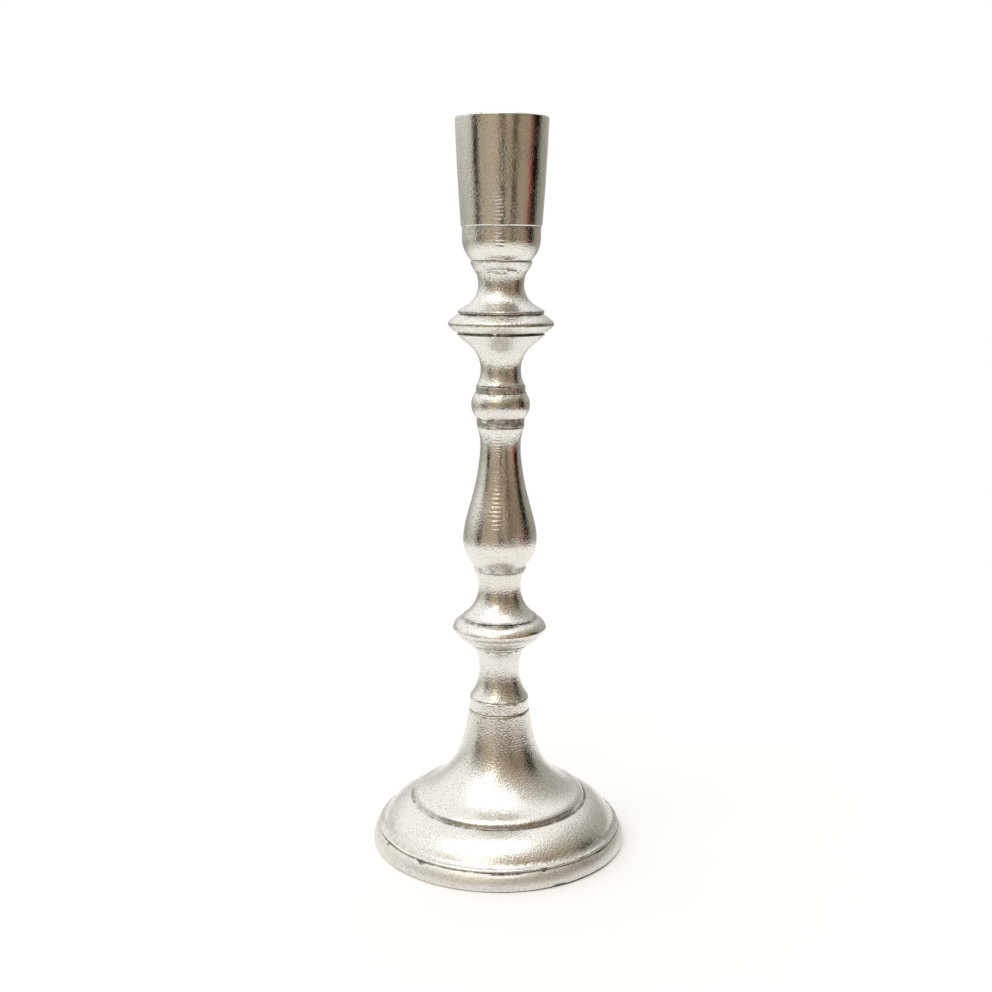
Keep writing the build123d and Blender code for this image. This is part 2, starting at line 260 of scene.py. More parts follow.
def turned_faces(rows, steps, poles):
    """Quads of a section loop turned about the axis; a row in poles is one vertex on the axis."""
    first, place = [], 0
    for i in range(rows):
        first.append(place)
        place += 1 if i in poles else steps
    faces = []
    for i in range(rows):
        j = (i + 1) % rows
        if i in poles and j in poles:
            continue
        for k in range(steps):
            m = (k + 1) % steps
            if i in poles:
                faces.append((first[i], first[j] + m, first[j] + k))
            elif j in poles:
                faces.append((first[i] + k, first[i] + m, first[j]))
            else:
                faces.append((first[i] + k, first[i] + m, first[j] + m, first[j] + k))
    return faces, first, place


def ragged_edges(where, hollow):
    """How near each row is to a hollow corner or a seam; 0 at the seam itself, which stays closed."""
    reach, closed = 0.7, 0.2
    from_start, to_end = where, where[-1] - where
    grooves = np.concatenate([where[hollow > 0.05], [0.0, where[-1]]])
    near = np.exp(-((np.abs(where[:, None] - grooves).min(1) / reach) ** 2))
    return near * (1 - np.exp(-from_start / closed)) * (1 - np.exp(-to_end / closed))


def casting(name, node, outside, inside, rows, steps, relief=None, coarse=0.0, grain=0.5, seed=1,
            raw=0.0, ends=(1.0, 1.0), sag=None, shade_bands=(), satin=None):
    """A turned casting. outside runs up its visible side, inside runs back down to the start.

    relief gives it marks of its own, with painted shade in their troughs. coarse and grain are its
    unevenness, in the mesh and in the metal. raw is how dull its hidden side is, and ends how much
    shade is painted at its two seams. sag lowers its rim. shade_bands are bands of painted shade as
    (height, half height, strength). Below the first height of satin the metal is dull, and from the
    second one up it is bright.
    """
    cavity_width, seam_shade_reach = 0.5, 0.28
    edge_strength = 0.55 if sag else 1.0
    line = softened(np.array(outside.points), EDGE_SOFTNESS)
    where = rows_for(line, rows)
    face = resampled(line, where)
    normal = resampled_normals(line, where)
    broad = resampled(softened(line, cavity_width), where)
    hollow = np.clip(((broad - face) * normal).sum(1), -0.25, 0.25)
    # Painted shade at the two seams, fading away from them
    seam_shade = ends[0] * np.exp(-where / seam_shade_reach)
    seam_shade = seam_shade + ends[1] * np.exp(-(where[-1] - where) / seam_shade_reach)
    ragged = ragged_edges(where, hollow)

    back = np.array(inside.points)[1:-1]
    section = np.concatenate([face, back])
    section_normal = np.concatenate([normal, normals_of(back)])
    out_rows, all_rows = len(face), len(section)
    poles = {i for i, p in enumerate(section) if abs(p[0]) < 1e-6}

    turn = np.arange(steps) * TAU / steps
    cos, sin = np.cos(turn), np.sin(turn)
    faces, first, count = turned_faces(all_rows, steps, poles)
    base, out = np.zeros((count, 3)), np.zeros((count, 3))
    angle, height, radius = (np.zeros(count) for _ in range(3))
    painted_shade, wear, roughcast, satin_layer, edge = (np.zeros(count) for _ in range(5))
    for i in range(all_rows):
        here = slice(first[i], first[i] + (1 if i in poles else steps))
        c, s, t = (cos[:1], sin[:1], turn[:1]) if i in poles else (cos, sin, turn)
        base[here] = np.stack([section[i, 0] * c, section[i, 0] * s, 0 * c + section[i, 1]], 1)
        nr, nz = section_normal[i]
        out[here] = np.stack([nr * c, nr * s, 0 * c + nz], 1)
        angle[here], height[here], radius[here] = t, section[i, 1], section[i, 0]
        if i < out_rows:
            # Painted shade in hollow corners and in the listed bands
            painted_shade[here] = 0.8 * smooth_step(0.03, 0.14, hollow[i]) + seam_shade[i]
            wear[here] = smooth_step(0.012, 0.08, -hollow[i])
            edge[here] = ragged[i] * edge_strength
            for at_height, half, strength in shade_bands:
                painted_shade[here] += strength * math.exp(-(((section[i, 1] - at_height) / half) ** 2))
            if satin:
                satin_layer[here] = 1 - smooth_step(*satin, section[i, 1])
        else:
            roughcast[here] = raw

    # The surface moves out and in along its normals
    swell = 0.034 * lattice_noise(base, 11.0, seed) + 0.014 * lattice_noise(base, 4.2, seed + 1)
    swell += (0.0035 + 0.011 * coarse) * lattice_noise(base, 1.7, seed + 2)
    swell += 0.05 * roughcast * lattice_noise(base, 2.3, seed + 3)
    nibbled = 0.17 * lattice_noise(base, 1.2, seed + 8) + 0.1 * lattice_noise(base, 3.1, seed + 9)
    swell += edge * nibbled
    if relief:
        marks = relief(base, angle, radius, height)
        swell += marks
        # Painted shade in the troughs of the marks
        painted_shade += 0.8 * smooth_step(0.1, 0.2, -marks)
    # The painted shade is patchy, and heavier on the right of the front
    patchy = 0.5 * lattice_noise(base, 2.6, seed + 4) + 0.55 * lattice_noise(base, 0.9, seed + 5)
    patchy += 0.35 * lattice_noise(base, 14.0, seed + 7) + 0.34 * np.cos(angle_gap(angle, FRONT + 0.9))
    painted_shade = np.clip(painted_shade * np.clip(0.75 + patchy, 0.1, 1.5), 0, 1)
    grain_layer = np.clip(grain + 0.25 * lattice_noise(base, 7.0, seed + 6), 0, 1)
    moved = base + out * swell[:, None]
    if sag:
        moved[:, 2] -= sag(angle, radius, height)
    made = new_object(
        name, moved * MM, faces,
        {"painted_shade": painted_shade, "wear": wear, "raw": roughcast, "grain": grain_layer, "satin": satin_layer},
    )
    dress(made, node, SILVER)


def dress(made, node, material):
    made.data.materials.append(material)
    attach(made, "root")
    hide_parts(node)


# ------------------------------------------------------------------ materials
def feed(tree, socket, given):
    """Links a socket to another one, or sets it to a number or a colour."""
    if isinstance(given, bpy.types.NodeSocket):
        tree.links.new(given, socket)
    else:
        socket.default_value = (*given, 1.0) if isinstance(given, tuple) else given


class Nodes:
    """Short hand for building one material's node tree."""

    def __init__(self, name):
        self.material = bpy.data.materials.new(name)
        self.material.use_nodes = True
        self.tree = self.material.node_tree
        self.shader = self.tree.nodes["Principled BSDF"]
        self.place = self.tree.nodes.new("ShaderNodeTexCoord").outputs["Object"]

    def link(self, a, b):
        self.tree.links.new(a, b)

    def math(self, operation, a, b=0.0, clamp=False):
        node = self.tree.nodes.new("ShaderNodeMath")
        node.operation, node.use_clamp = operation, clamp
        feed(self.tree, node.inputs[0], a)
        feed(self.tree, node.inputs[1], b)
        return node.outputs[0]

    def noise(self, size_mm, detail=2.0, roughness=0.5):
        """Noise with features of about size_mm, as a value of 0 to 1."""
        node = self.tree.nodes.new("ShaderNodeTexNoise")
        node.inputs["Scale"].default_value = 1000.0 / size_mm
        node.inputs["Detail"].default_value = detail
        node.inputs["Roughness"].default_value = roughness
        self.link(self.place, node.inputs["Vector"])
        return node.outputs["Fac"]

    def cells(self, size_mm, output="Distance"):
        """Scattered cells of about size_mm: the distance to their middles, or a colour for each."""
        node = self.tree.nodes.new("ShaderNodeTexVoronoi")
        node.feature = "F1"
        node.inputs["Scale"].default_value = 1000.0 / size_mm
        self.link(self.place, node.inputs["Vector"])
        return node.outputs[output]

    def layer(self, name):
        """A value stored at the mesh's vertices."""
        node = self.tree.nodes.new("ShaderNodeAttribute")
        node.attribute_name = name
        return node.outputs["Fac"]

    def ramp(self, value, low, high):
        """Blends smoothly between two (value, result) pairs."""
        node = self.tree.nodes.new("ShaderNodeMapRange")
        node.interpolation_type = "SMOOTHSTEP"
        (from_low, to_low), (from_high, to_high) = low, high
        node.inputs["From Min"].default_value = from_low
        node.inputs["From Max"].default_value = from_high
        node.inputs["To Min"].default_value = to_low
        node.inputs["To Max"].default_value = to_high
        self.link(value, node.inputs["Value"])
        return node.outputs["Result"]

    def mix(self, amount, a, b):
        node = self.tree.nodes.new("ShaderNodeMix")
        node.data_type = "RGBA"
        self.link(amount, node.inputs["Factor"])
        feed(self.tree, node.inputs["A"], a)
        feed(self.tree, node.inputs["B"], b)
        return node.outputs["Result"]

    def bump(self, height, distance_mm):
        node = self.tree.nodes.new("ShaderNodeBump")
        node.inputs["Strength"].default_value = 1.0
        node.inputs["Distance"].default_value = distance_mm * MM
        self.link(height, node.inputs["Height"])
        return node.outputs["Normal"]


def silver_material():
    n = Nodes("silver_casting")
    painted_shade, wear, raw, grain, satin = (n.layer(k) for k in ("painted_shade", "wear", "raw", "grain", "satin"))
    # Colour: plated metal, slightly uneven in warmth, greyer in the grain's pits, with painted shade
    # in grooves and at seams
    warmth = n.ramp(n.noise(14.0, 3.0), (0.35, 0.0), (0.65, 1.0))
    metal = n.mix(warmth, (0.82, 0.80, 0.755), (0.80, 0.79, 0.765))
    mottle = n.ramp(n.noise(0.6, 1.5, 0.6), (0.31, 1.0), (0.50, 0.0))
    share = n.math("ADD", n.math("MULTIPLY", grain, 0.7), 0.08)
    mottled = n.math("MULTIPLY", mottle, share, clamp=True)
    metal = n.mix(mottled, metal, (0.33, 0.30, 0.25))
    # Sparse dark pinholes of the casting
    pin = n.ramp(n.cells(2.6), (0.035, 1.0), (0.085, 0.0))
    pin_here = n.ramp(n.noise(6.0, 1.0), (0.52, 0.0), (0.60, 1.0))
    pinholes = n.math("MULTIPLY", pin, pin_here, clamp=True)
    metal = n.mix(pinholes, metal, (0.13, 0.115, 0.095))
    dull = n.math("MULTIPLY", raw, n.ramp(n.noise(3.5, 4.0), (0.3, 0.55), (0.7, 1.0)), clamp=True)
    metal = n.mix(dull, metal, (0.33, 0.32, 0.30))
    # Painted shade: dark brown in grooves, at seams and in the listed bands, broken into patches
    patch = n.ramp(n.noise(0.7, 3.0), (0.25, 0.72), (0.65, 1.0))
    shade_patch_amount = n.math("MULTIPLY", painted_shade, patch, clamp=True)
    metal = n.mix(n.math("MULTIPLY", shade_patch_amount, 0.92), metal, (0.10, 0.08, 0.06))
    n.link(metal, n.shader.inputs["Base Color"])
    n.shader.inputs["Metallic"].default_value = 1.0
    # Roughness: buffed on edges, satin on the grain, dull in grooves and on the raw underside
    rough = n.ramp(n.noise(5.0, 4.0), (0.3, 0.09), (0.7, 0.15))
    rough = n.math("ADD", rough, n.math("MULTIPLY", grain, 0.05))
    rough = n.math("SUBTRACT", rough, n.math("MULTIPLY", wear, 0.03))
    rough = n.math("ADD", rough, n.math("MULTIPLY", painted_shade, 0.35))
    rough = n.math("ADD", rough, n.math("MULTIPLY", satin, 0.28))
    rough = n.math("ADD", rough, n.math("MULTIPLY", raw, 0.28), clamp=True)
    n.link(rough, n.shader.inputs["Roughness"])
    # Relief: orange peel, finer tooth, the raw underside's lumps, pinholes
    orange_peel = n.noise(0.68, 2.0, 0.55)
    fine = n.noise(0.32, 2.0, 0.6)
    peel_height = n.math("ADD", n.math("MULTIPLY", grain, 1.6), 0.1)
    rise = n.math("MULTIPLY", orange_peel, peel_height)
    rise = n.math("ADD", rise, n.math("MULTIPLY", fine, 0.16))
    rise = n.math("ADD", rise, n.math("MULTIPLY", n.math("MULTIPLY", raw, 1.2), n.noise(1.6, 3.0)))
    rise = n.math("SUBTRACT", rise, n.math("MULTIPLY", pinholes, 0.8))
    n.link(n.bump(rise, 0.14), n.shader.inputs["Normal"])
    return n.material


def steel_material():
    n = Nodes("zinc_steel")
    spangle = n.ramp(n.cells(1.3, "Color"), (0.2, 0.0), (0.8, 1.0))
    zinc = n.mix(spangle, (0.56, 0.575, 0.60), (0.68, 0.685, 0.69))
    dust = n.ramp(n.noise(2.2, 4.0), (0.52, 0.0), (0.72, 0.75))
    zinc = n.mix(dust, zinc, (0.30, 0.285, 0.26))
    n.link(zinc, n.shader.inputs["Base Color"])
    n.shader.inputs["Metallic"].default_value = 1.0
    rough = n.ramp(n.noise(1.5, 3.0), (0.3, 0.30), (0.7, 0.46))
    n.link(rough, n.shader.inputs["Roughness"])
    n.link(n.bump(n.noise(0.4, 3.0), 0.05), n.shader.inputs["Normal"])
    return n.material


def felt_material():
    n = Nodes("felt")
    fibres = n.noise(0.35, 4.0, 0.7)
    clumps = n.noise(2.5, 3.0)
    blend = n.math("ADD", n.math("MULTIPLY", fibres, 0.7), n.math("MULTIPLY", clumps, 0.3))
    blend = n.ramp(blend, (0.35, 0.0), (0.65, 1.0))
    shade = n.mix(blend, (0.035, 0.035, 0.038), (0.11, 0.108, 0.11))
    n.link(shade, n.shader.inputs["Base Color"])
    n.link(n.ramp(fibres, (0.3, 0.88), (0.7, 1.0)), n.shader.inputs["Roughness"])
    n.shader.inputs["Sheen Weight"].default_value = 0.3
    n.shader.inputs["Specular IOR Level"].default_value = 0.2
    n.link(n.bump(fibres, 0.25), n.shader.inputs["Normal"])
    return n.material


SILVER = silver_material()
STEEL = steel_material()
FELT = felt_material()


# ------------------------------------------------------------------ marks on single castings
def chatter(angle, height, low, high, centre, half_width, pitch, depth, seed):
    """A patch of shallow level ridges, left where a tool or file chattered on the casting."""
    across = np.exp(-((angle_gap(angle, centre) / half_width) ** 4))
    up = smooth_step(low, low + 3, height) * (1 - smooth_step(high - 3, high, height))
    place = np.stack([angle * 6, height, height * 0], 1)
    uneven = 0.8 + 0.6 * lattice_noise(place, 2.6, seed)
    phase = height / pitch + 0.3 * lattice_noise(place, 5.0, seed + 1)
    return depth * across * up * uneven * np.sin(TAU * phase)


def dent(angle, radius, height, at_angle, at_height, width, tall, depth):
    """A small smooth dent, deepest in its middle."""
    side = angle_gap(angle, at_angle) * radius
    return -depth * np.exp(-((side / width) ** 2) - ((height - at_height) / tall) ** 2)


def cup_marks(base, angle, radius, height):
    marks = chatter(angle, height, 237.0, 255.0, FRONT - 0.06, 0.11, 1.3, 0.055, 31)
    marks += 0.03 * lattice_noise(base * (1, 1, 0.12), 5.5, 32) * smooth_step(241, 244, height)
    lip = np.exp(-(((height - 241.0) / 0.5) ** 2))
    return marks + 0.09 * lip * lattice_noise(base * (1, 1, 0), 5.0, 33)


def bowl_marks(base, angle, radius, height):
    return chatter(angle, height, 231.0, 244.0, FRONT - 0.06, 0.12, 1.3, 0.075, 34)


def baluster_marks(base, angle, radius, height):
    marks = chatter(angle, height, 146.0, 166.0, FRONT - 0.11, 0.17, 1.12, 0.042, 35)
    marks += chatter(angle, height, 126.0, 151.0, FRONT - 0.14, 0.19, 1.6, 0.034, 30)
    return marks + 0.03 * lattice_noise(base * (1, 1, 0.15), 4.5, 36)


def disc_marks(base, angle, radius, height):
    # A lump of metal left in the groove under the disc
    marks = -dent(angle, radius, height, FRONT - 0.13, 201.4, 0.8, 0.55, 0.8)
    edge = np.exp(-(((height - 205.0) / 0.9) ** 2))
    return marks + 0.07 * edge * lattice_noise(base * (1, 1, 0), 7.0, 37)


def foot_marks(base, angle, radius, height):
    # A pit below the collar, then the nicks under the shoulder's lip and on the rim
    marks = dent(angle, radius, height, FRONT - 0.72, 51.0, 0.45, 0.5, 0.22)
    nick_depth = 0.36
    for at_angle, at_height, width, tall in (
        (-1.09, 6.1, 0.9, 0.7), (-0.65, 6.3, 1.8, 0.6), (0.36, 6.9, 1.3, 0.9), (0.96, 6.3, 5.5, 0.4),
        (0.05, 6.2, 6.0, 0.35), (0.47, 1.0, 2.5, 0.5),
    ):
        marks += dent(angle, radius, height, FRONT + at_angle, at_height, width, tall, nick_depth)
    # A curved flow mark of the casting on the left of the shoulder
    across = angle_gap(angle, FRONT - 0.98) / 0.16
    marks -= 0.13 * np.exp(-(across**4) - ((height - 12.4 + 0.8 * across**2) / 0.4) ** 2)
    edge = np.exp(-(((height - 7.2) / 0.7) ** 2)) + np.exp(-(((height - 18.6) / 0.8) ** 2))
    marks += 0.10 * edge * lattice_noise(base * (1, 1, 0), 6.0, 38)
    shoulder = smooth_step(34, 37, radius) * smooth_step(6.5, 8.5, height)
    return marks + 0.03 * shoulder * lattice_noise(base, 6.5, 39)


def rim_sag(angle, radius, height):
    """The foot's outer edge comes down almost to the table, except where it is chipped away."""
    chipped = np.exp(-((angle_gap(angle, FRONT + 0.75) / 0.42) ** 2))
    low = smooth_step(48.6, 49.5, radius) * (1 - smooth_step(0.8, 2.6, height))
    return 0.5 * low * (1 - 0.9 * chipped)


# ------------------------------------------------------------------ the castings, top to bottom
def path(*points):
    """A plain polyline, for the sides that other castings cover."""
    made = Outline(*points[0])
    made.points = [np.array(p, float) for p in points]
    return made


def joint_side(outside, recess_radius, spigot_radius):
    """The covered side of a stacked casting, from its top down: spigot, rod hole, recess."""
    (bottom_radius, bottom), (top_radius, top) = outside.points[0], outside.points[-1]
    crown, roof = top + SPIGOT_HEIGHT, bottom + RECESS_DEPTH
    recess = recess_radius + SPIGOT_PLAY
    return path(
        (top_radius, top), (spigot_radius, top), (spigot_radius, crown - SPIGOT_CHAMFER),
        (spigot_radius - SPIGOT_CHAMFER, crown), (ROD_HOLE, crown), (ROD_HOLE, roof),
        (recess, roof), (recess, bottom), (bottom_radius, bottom),
    )


# The ends and the bands given to each casting below set where shade is painted: at its seams and at
# the listed heights
cup_out = Outline(8.0, SEAM_CUP)
cup_out.line((14.75, SEAM_CUP)).arc((15.02, 240.88), (15.15, 241.3))
cup_out.arc((16.48, 261.0), (17.36, 279.3)).arc((17.14, 279.82), (16.7, 280.0))
# Over the rim, round the mouth and down the candle socket
cup_out.line((14.7, 280.0)).arc((12.437, 279.063), (11.5, 276.8)).line((11.5, 249.3), (10.7, 248.5))
cup_in = path(
    (10.7, 248.5), (5.0, 248.5), (0, 248.5), (0, 246.5), (3.05, 245.0), (3.05, 234.7),
    (7.6, 234.7), (8.0, 235.1), (8.0, SEAM_CUP),
)
casting("cup_casting", "candle_cup", cup_out, cup_in, 290, STEM_STEPS, cup_marks,
        coarse=0.45, grain=0.31, seed=101, ends=(0.0, 0.6))

bowl_out = Outline(11.25, SEAM_BOWL)
bowl_out.line((11.96, 229.2)).arc((14.14, 233.0), (14.68, 236.4)).line((14.72, SEAM_CUP))
bowl_in = path(
    (14.72, SEAM_CUP), (8.1, SEAM_CUP), (8.1, 234.4), (ROD_HOLE, 234.4), (ROD_HOLE, 230.8),
    (6.3, 230.8), (6.3, SEAM_BOWL), (11.25, SEAM_BOWL),
)
casting("bowl_casting", "cup_bowl", bowl_out, bowl_in, 90, STEM_STEPS, bowl_marks,
        coarse=1.2, grain=0.5, seed=111)

neck_out = Outline(15.7, SEAM_NECK)
neck_out.line((16.25, 209.0), (16.3, 209.7), (16.1, 210.0), (12.65, 212.0))
neck_out.arc((9.62, 215.35), (8.62, 219.8)).arc((8.89, 222.1), (9.75, 224.4))
neck_out.arc((10.87, 225.98), (11.65, 227.75)).line((11.25, SEAM_BOWL))
neck_in = joint_side(neck_out, WIDE_SPIGOT, WAIST_SPIGOT)
casting("neck_casting", "neck", neck_out, neck_in, 170, STEM_STEPS, None,
        coarse=0.8, grain=0.7, seed=121, shade_bands=((209.4, 0.75, 0.5),))

disc_out = Outline(15.8, SEAM_DISC)
disc_out.line((15.8, 201.65), (16.85, 201.9)).arc((18.45, 202.95), (19.45, 203.9))
disc_out.arc((19.92, 205.0), (19.55, 206.0)).arc((18.1, 207.15), (16.15, 208.5))
disc_out.line((15.7, SEAM_NECK))
disc_in = joint_side(disc_out, WIDE_SPIGOT, WIDE_SPIGOT)
casting("disc_casting", "drip_disc", disc_out, disc_in, 130, STEM_STEPS, disc_marks,
        coarse=0.8, grain=0.7, seed=131, shade_bands=((204.9, 0.35, 0.6),))

upper_out = Outline(9.0, SEAM_UPPER_SPOOL)
upper_out.line((9.1, 182.05)).arc((8.0, 184.73), (7.66, 187.6)).arc((8.5, 192.3), (11.2, 196.3))
upper_out.line((16.65, 201.0), (15.8, 201.25), (15.8, SEAM_DISC))
upper_in = joint_side(upper_out, WAIST_SPIGOT, WIDE_SPIGOT)
casting("upper_spool_casting", "upper_spool", upper_out, upper_in, 170, STEM_STEPS, disc_marks,
        coarse=0.8, grain=0.65, seed=141)

knop_out = Outline(8.75, SEAM_KNOP)
knop_out.line((9.04, 166.45), (9.08, 169.5), (9.75, 170.15)).arc((11.16, 174.5), (9.4, 179.2))
knop_out.line((9.38, 181.55), (9.0, SEAM_UPPER_SPOOL))
knop_in = joint_side(knop_out, WAIST_SPIGOT, WAIST_SPIGOT)
casting("knop_casting", "knop", knop_out, knop_in, 150, STEM_STEPS, None,
        coarse=0.8, grain=0.6, seed=151, shade_bands=((180.4, 1.4, 0.45), (168.0, 1.7, 0.6)))

baluster_out = Outline(9.7, SEAM_BALUSTER)
baluster_out.line((10.02, 110.45), (10.28, 112.1), (10.5, 112.45), (11.4, 113.7))
baluster_out.arc((13.36, 117.3), (14.24, 122.3))
baluster_out.curve((13.1, 130.3), (10.45, 140.2), (8.55, 149.6), (7.72, 158.6), upright_ends=True)
baluster_out.arc((8.03, 162.4), (8.93, 165.9)).line((8.75, SEAM_KNOP))
baluster_in = joint_side(baluster_out, WAIST_SPIGOT, WAIST_SPIGOT)
casting("baluster_casting", "baluster", baluster_out, baluster_in, 290, STEM_STEPS, baluster_marks,
        coarse=0.4, grain=0.46, seed=161, shade_bands=((111.4, 1.1, 0.5),))

lower_neck_out = Outline(14.0, SEAM_LOWER_NECK)
lower_neck_out.line((14.55, 91.6), (14.1, 91.9)).arc((9.77, 96.93), (8.2, 103.4))
lower_neck_out.arc((8.52, 106.6), (9.5, 109.6)).line((9.7, SEAM_BALUSTER))
lower_neck_in = joint_side(lower_neck_out, WIDE_SPIGOT, WAIST_SPIGOT)
casting("lower_neck_casting", "lower_neck", lower_neck_out, lower_neck_in, 160, STEM_STEPS, None,
        coarse=0.8, grain=0.6, seed=171, shade_bands=((91.8, 0.4, 0.55),))

lower_knop_out = Outline(15.9, SEAM_LOWER_KNOP)
lower_knop_out.line((16.55, 84.95)).arc((17.85, 86.0), (18.3, 87.3)).arc((17.25, 89.1), (14.6, 90.9))
lower_knop_out.line((14.0, SEAM_LOWER_NECK))
lower_knop_in = joint_side(lower_knop_out, WIDE_SPIGOT, WIDE_SPIGOT)
casting("lower_knop_casting", "lower_knop", lower_knop_out, lower_knop_in, 110, STEM_STEPS, None,
        coarse=0.9, grain=0.6, seed=181, shade_bands=((90.9, 0.4, 0.55), (85.0, 0.4, 0.4)))

lower_spool_out = Outline(11.15, SEAM_LOWER_SPOOL)
lower_spool_out.line((11.42, 59.2), (11.05, 59.75)).arc((8.61, 65.07), (7.84, 70.8))
lower_spool_out.arc((8.36, 75.0), (10.1, 79.4)).arc((11.05, 79.95), (11.2, 80.6))
lower_spool_out.line((13.2, 81.65), (14.65, 82.6)).arc((15.5, 83.5), (15.85, 84.5))
lower_spool_out.line((15.9, SEAM_LOWER_KNOP))
lower_spool_in = joint_side(lower_spool_out, COLLAR_SPIGOT, WIDE_SPIGOT)
casting("lower_spool_casting", "lower_spool", lower_spool_out, lower_spool_in, 220, STEM_STEPS, None,
        coarse=0.9, grain=0.6, seed=191)

collar_out = Outline(11.55, SEAM_COLLAR)
collar_out.line((11.9, 54.2), (11.5, 58.4), (11.15, SEAM_LOWER_SPOOL))
collar_hole = COLLAR_SPIGOT + SPIGOT_PLAY
collar_in = path(
    (11.15, SEAM_LOWER_SPOOL), (collar_hole, SEAM_LOWER_SPOOL), (collar_hole, SEAM_COLLAR),
    (11.55, SEAM_COLLAR),
)
casting("collar_casting", "collar", collar_out, collar_in, 60, STEM_STEPS, None,
        coarse=0.0, grain=0.3, seed=201, ends=(1.3, 0.8))

foot_out = Outline(44.5, FELT_THICKNESS)
foot_out.line((49.6, FELT_THICKNESS), (50.0, 1.0)).arc((49.44, 4.0), (47.95, 6.45)).line((47.55, 6.75))
foot_out.line((47.9, 7.0)).arc((47.75, 7.45), (47.2, 7.75)).arc((46.2, 8.35), (45.4, 9.2))
foot_out.arc((41.25, 13.9), (34.8, 17.35)).line((34.2, 17.45), (33.75, 18.95))
foot_out.arc((32.95, 19.75), (31.4, 20.6))
foot_out.curve((23.5, 25.7), (17.8, 32.5), (14.3, 41.0), (12.65, 48.5), (11.95, 53.5), flows=True)
foot_out.line((11.55, SEAM_COLLAR))
foot_in = path(
    (11.55, SEAM_COLLAR), (COLLAR_SPIGOT, SEAM_COLLAR), (COLLAR_SPIGOT, 60.6), (6.6, 61.0),
    (ROD_HOLE, 61.0), (ROD_HOLE, WASHER_SEAT), (11.0, WASHER_SEAT),
)
# The hollow underside, in rows at an even distance
hollow_row_count = 46
hollow = Outline(11.0, WASHER_SEAT)
hollow.curve((12.3, 38.0), (15.9, 30.0), (22.8, 21.6), (33.0, 14.9)).arc((41.0, 11.5), (43.3, 7.5))
hollow.line((44.5, FELT_THICKNESS))
hollow_points = np.array(hollow.points)
hollow_spacing = np.linspace(0, along(hollow_points)[-1], hollow_row_count)
foot_in.points.extend(resampled(hollow_points, hollow_spacing)[1:])
casting("foot_casting", "foot", foot_out, foot_in, 134, FOOT_STEPS, foot_marks,
        coarse=0.1, grain=0.52, seed=211, raw=1.0, ends=(0.0, 1.3), sag=rim_sag,
        shade_bands=((18.3, 0.75, 0.55), (6.75, 0.3, 0.5)), satin=(6.2, 7.0))


# ------------------------------------------------------------------ felt ring
def felt_ring():
    """The felt glued under the rim, with slightly frayed edges."""
    steps, inner, outer, widest = 384, 45.2, 49.55, 49.6
    low, high = 0.0, FELT_THICKNESS
    flat_rows = 12
    loop = [(inner, 0.12), (inner + 0.12, low)]
    for i in range(1, flat_rows + 1):
        loop.append((inner + 0.12 + (outer - inner - 0.3) * i / flat_rows, low))
    loop += [(outer, 0.16), (outer, high - 0.12), (outer - 0.12, high)]
    loop += [(inner + 0.1, high), (inner, 0.45)]
    loop = np.array(loop)[::-1]
    turn = np.arange(steps) * TAU / steps
    verts = []
    for r, z in loop:
        place = np.stack([r * np.cos(turn), r * np.sin(turn), 0 * turn + z], 1)
        frayed = 0.09 * lattice_noise(place, 0.8, 51) + 0.12 * lattice_noise(place, 5.0, 52)
        side = -1.0 if r < inner + 0.3 else (1.0 if r > outer - 0.3 else 0.0)
        spread = np.minimum(r + side * np.abs(frayed), widest)
        verts.append(np.stack([spread * np.cos(turn), spread * np.sin(turn), place[:, 2]], 1))
    verts = np.concatenate(verts) * MM
    faces, _, _ = turned_faces(len(loop), steps, set())
    made = new_object("felt_pad", verts, faces)
    dress(made, "felt_ring", FELT)


# ------------------------------------------------------------------ M6 hardware
def threaded_rod():
    """A plain rod with a drawn thread; the ridge climbs one pitch per turn."""
    steps, per_pitch = 36, 6
    low, high, chamfer = ROD_FOOT, ROD_TOP, 0.8
    count = int((high - low) / THREAD_PITCH * per_pitch)
    heights = np.linspace(low, high, count + 1)
    turn = np.arange(steps) * TAU / steps
    verts = []
    for z in heights:
        phase = (z / THREAD_PITCH - turn / TAU) % 1.0
        tooth = np.clip(np.abs(phase - 0.5) * 2.6 - 0.15, 0, 1)
        r = ROD_RADIUS - THREAD_DEPTH * tooth
        end = max(chamfer - (z - low), chamfer - (high - z), 0.0)
        r = np.minimum(r, ROD_RADIUS - end)
        verts.append(np.stack([r * np.cos(turn), r * np.sin(turn), 0 * turn + z], 1))
    verts = np.concatenate(verts)
    centre_low, centre_high = len(verts), len(verts) + 1
    verts = np.concatenate([verts, [[0, 0, low], [0, 0, high]]]) * MM
    faces = []
    for i in range(count):
        for k in range(steps):
            m = (k + 1) % steps
            a, b = i * steps, (i + 1) * steps
            faces.append((a + k, a + m, b + m, b + k))
    top = count * steps
    for k in range(steps):
        m = (k + 1) % steps
        faces.append((centre_low, m, k))
        faces.append((centre_high, top + k, top + m))
    made = new_object("threaded_rod", verts, faces)
    dress(made, "tie_rod", STEEL)


def flat_washer():
    """The wide washer under the foot's boss."""
    steps, unevenness = 128, 0.012
    low, high, inner, outer = SPRING_SEAT, WASHER_SEAT, 3.2, 8.97
    loop = [
        (inner, high - 0.1), (inner, low + 0.1), (inner + 0.1, low), (5.0, low), (7.0, low),
        (outer - 0.45, low), (outer - 0.13, low + 0.13), (outer, low + 0.45), (outer, high - 0.1),
        (outer - 0.1, high), (inner + 0.1, high),
    ]
    turn = np.arange(steps) * TAU / steps
    verts = []
    for r, z in loop:
        place = np.stack([r * np.cos(turn), r * np.sin(turn), 0 * turn + z], 1)
        shift = unevenness * lattice_noise(place, 2.0, 62)
        place[:, 0] += shift * np.cos(turn)
        place[:, 1] += shift * np.sin(turn)
        verts.append(place)
    faces, _, _ = turned_faces(len(loop), steps, set())
    made = new_object("plain_washer", np.concatenate(verts) * MM, faces)
    dress(made, "flat_washer", STEEL)


